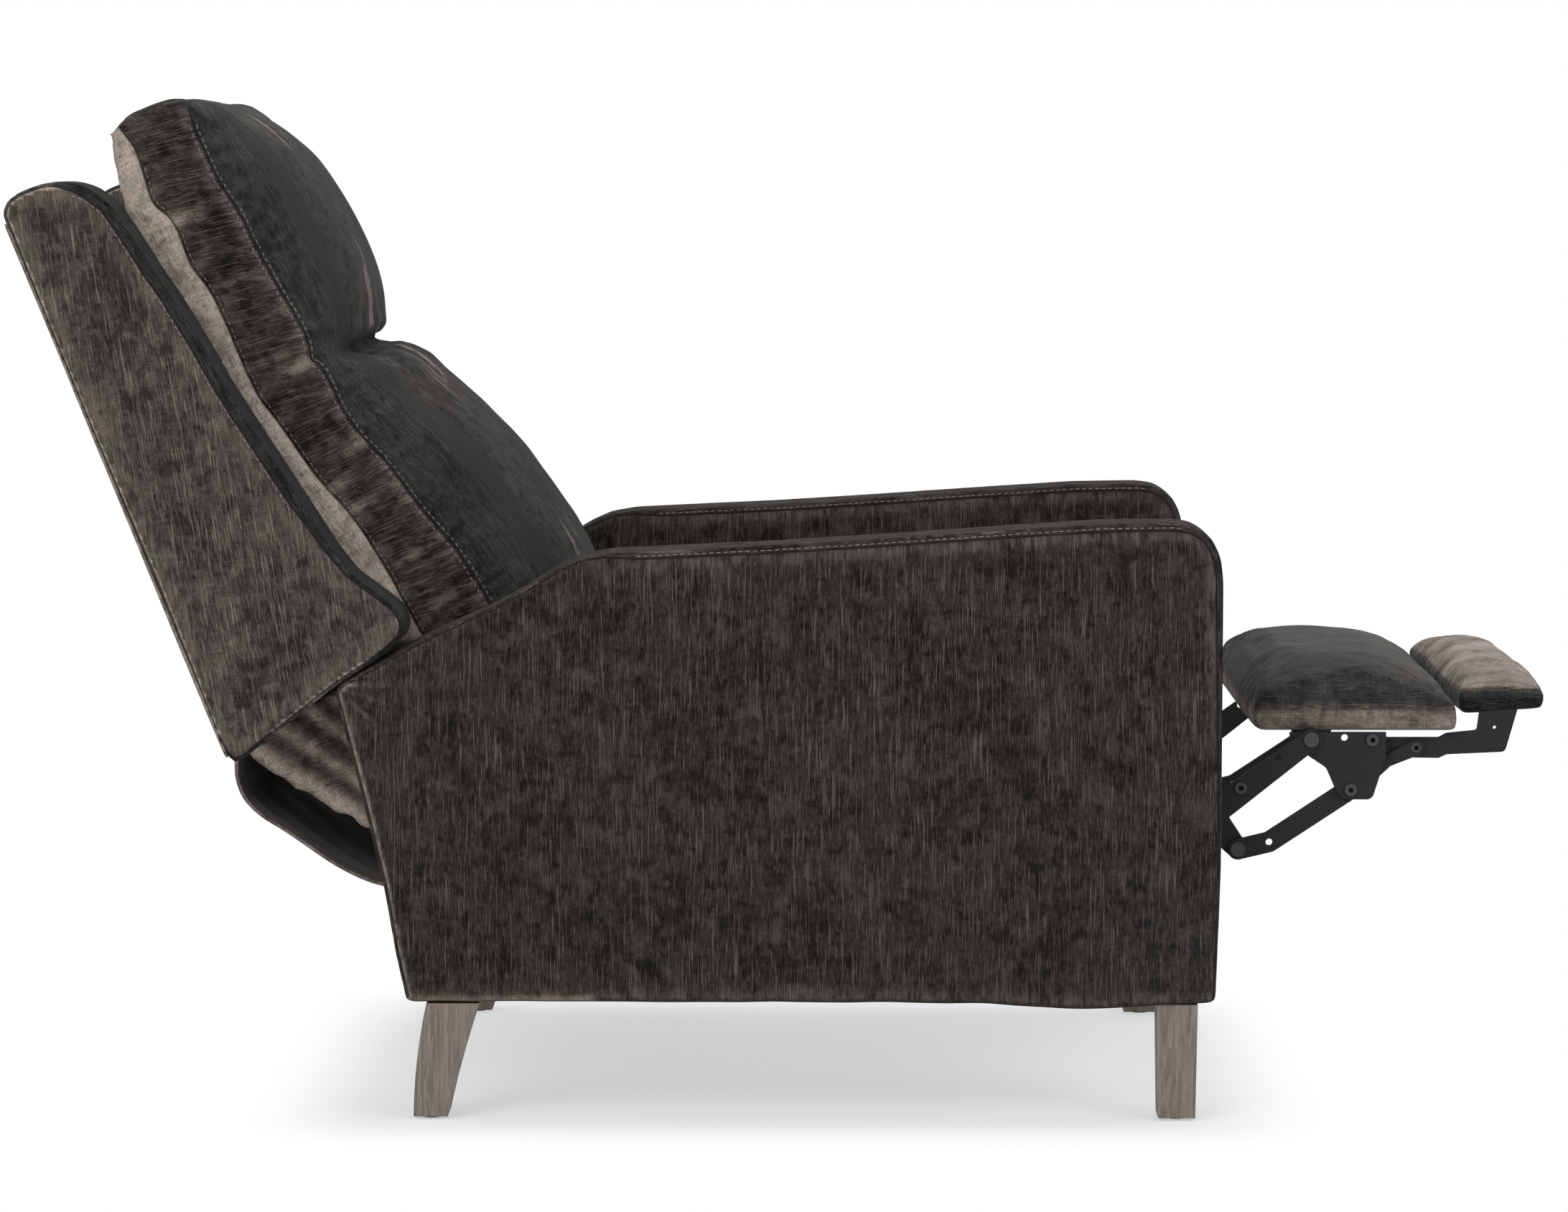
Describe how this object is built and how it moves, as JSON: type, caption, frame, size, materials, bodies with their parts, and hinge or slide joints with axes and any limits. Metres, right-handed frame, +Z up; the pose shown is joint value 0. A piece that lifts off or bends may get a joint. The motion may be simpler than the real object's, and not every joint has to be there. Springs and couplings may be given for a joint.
{
  "type": "recliner",
  "caption": "Push-back recliner with padded arms, winged back, wooden legs and a folding footrest on steel linkages, reclined with the footrest out.",
  "frame": {"origin": "on the floor under the middle of the overall length, on the middle plane of the chair", "axes": "+X to the front of the chair, +Y to the sitter's left, +Z up"},
  "size_m": [1.6274, 0.74, 1.0714],
  "materials": {
    "cover": "dark charcoal-brown slub velvet with a blotchy crushed pile",
    "cushion": "the same velvet over soft foam and fibre",
    "tail_fabric": "thin dark lining cloth",
    "webbing": "woven elastic webbing",
    "leg_wood": "grey-washed oak, matt",
    "frame_wood": "raw hardwood and plywood",
    "black_steel": "satin black paint on pressed steel",
    "glide_plastic": "black nylon"
  },
  "bodies": {
    "base": {"arm_cover_right": "cover", "arm_cover_left": "cover", "arm_frame_right": "frame_wood", "arm_frame_left": "frame_wood", "front_leg_right": "leg_wood", "front_leg_left": "leg_wood", "rear_leg_right": "leg_wood", "rear_leg_left": "leg_wood", "leg_glides": "glide_plastic", "rear_rail": "frame_wood", "lower_rear_panel": "cover", "tail_cloth": "tail_fabric", "base_plate_right": "black_steel", "base_plate_left": "black_steel", "base_cross_tube": "black_steel", "base_bolts": "black_steel", "base_rivets": "black_steel"},
    "seat_unit": {"seat_plate_right": "black_steel", "seat_plate_left": "black_steel", "back_brackets": "black_steel", "seat_side_rails": "frame_wood", "seat_cross_rails": "frame_wood", "seat_webbing": "webbing", "seat_cushion": "cushion", "seat_front_border": "cover", "seat_rivets": "black_steel", "back_posts": "frame_wood", "back_cross_rails": "frame_wood", "outside_back": "cover", "lower_back_cheeks": "cover", "lower_back_bottom": "tail_fabric", "wing_right": "cover", "wing_left": "cover", "back_cushion": "cushion"},
    "front_swing": {"front_swing_links": "black_steel"},
    "rear_swing": {"rear_swing_links": "black_steel"},
    "drive_link": {"drive_link_right": "black_steel", "drive_link_left": "black_steel", "drive_tube": "black_steel"},
    "support_link": {"support_link_right": "black_steel", "support_link_left": "black_steel"},
    "long_link": {"long_link_right": "black_steel", "long_link_left": "black_steel", "long_link_rivets": "black_steel"},
    "footrest": {"footrest_bracket_right": "black_steel", "footrest_bracket_left": "black_steel", "footrest_board": "frame_wood", "footrest_pad": "cushion", "footrest_rivets": "black_steel"},
    "guide_link": {"guide_link_right": "black_steel", "guide_link_left": "black_steel", "guide_link_rivets": "black_steel"},
    "flipper": {"flipper_plate_right": "black_steel", "flipper_plate_left": "black_steel", "flipper_board": "frame_wood", "flipper_pad": "cushion", "flipper_rivets": "black_steel"},
    "flipper_control": {"flipper_controls": "black_steel"}
  },
  "joints": [
    {"name": "recline", "type": "hinge", "parent": "base", "child": "seat_unit", "pos_m": [-0.0019, 0, -0.2315], "axis": [0, 1, 0], "range_deg": [0, 9.5], "deforming": ["tail_cloth"]},
    {"name": "front_swing", "type": "hinge", "parent": "base", "child": "front_swing", "pos_m": [0.17797, 0, 0.2364], "axis": [0, 1, 0], "range_deg": [0, 42.03]},
    {"name": "rear_swing", "type": "hinge", "parent": "base", "child": "rear_swing", "pos_m": [-0.06198, 0, 0.22165], "axis": [0, 1, 0], "range_deg": [0, 50.16]},
    {"name": "footrest", "type": "hinge", "parent": "seat_unit", "child": "drive_link", "pos_m": [0.2521, 0, 0.4007], "axis": [0, 1, 0], "range_deg": [0, 99.7]},
    {"name": "support", "type": "hinge", "parent": "seat_unit", "child": "support_link", "pos_m": [0.3033, 0, 0.4315], "axis": [0, 1, 0], "range_deg": [0, 101.26]},
    {"name": "elbow", "type": "hinge", "parent": "drive_link", "child": "long_link", "pos_m": [0.4, 0, 0.2673], "axis": [0, 1, 0], "range_deg": [-77.53, 0]},
    {"name": "bracket", "type": "hinge", "parent": "long_link", "child": "footrest", "pos_m": [0.5594, 0, 0.3945], "axis": [0, 1, 0], "range_deg": [0, 51.28]},
    {"name": "guide", "type": "hinge", "parent": "footrest", "child": "guide_link", "pos_m": [0.6023, 0, 0.34], "axis": [0, 1, 0], "range_deg": [-42.05, 0]},
    {"name": "flipper", "type": "hinge", "parent": "footrest", "child": "flipper", "pos_m": [0.6251, 0, 0.3937], "axis": [0, 1, 0], "range_deg": [0, 99.88]},
    {"name": "flipper_control", "type": "hinge", "parent": "flipper", "child": "flipper_control", "pos_m": [0.6731, 0, 0.3842], "axis": [0, 1, 0], "range_deg": [0, 19.76]}
  ],
  "couplings": [
    {"joint": "front_swing", "follows": "recline", "ratio": 4.3822},
    {"joint": "rear_swing", "follows": "recline", "ratio": 5.2374},
    {"joint": "support", "follows": "footrest", "ratio": 1.0117},
    {"joint": "elbow", "follows": "footrest", "ratio": -0.77366},
    {"joint": "bracket", "follows": "footrest", "ratio": 0.51037},
    {"joint": "guide", "follows": "footrest", "ratio": -0.41772},
    {"joint": "flipper", "follows": "footrest", "ratio": 0.99782},
    {"joint": "flipper_control", "follows": "footrest", "ratio": 0.19415}
  ]
}
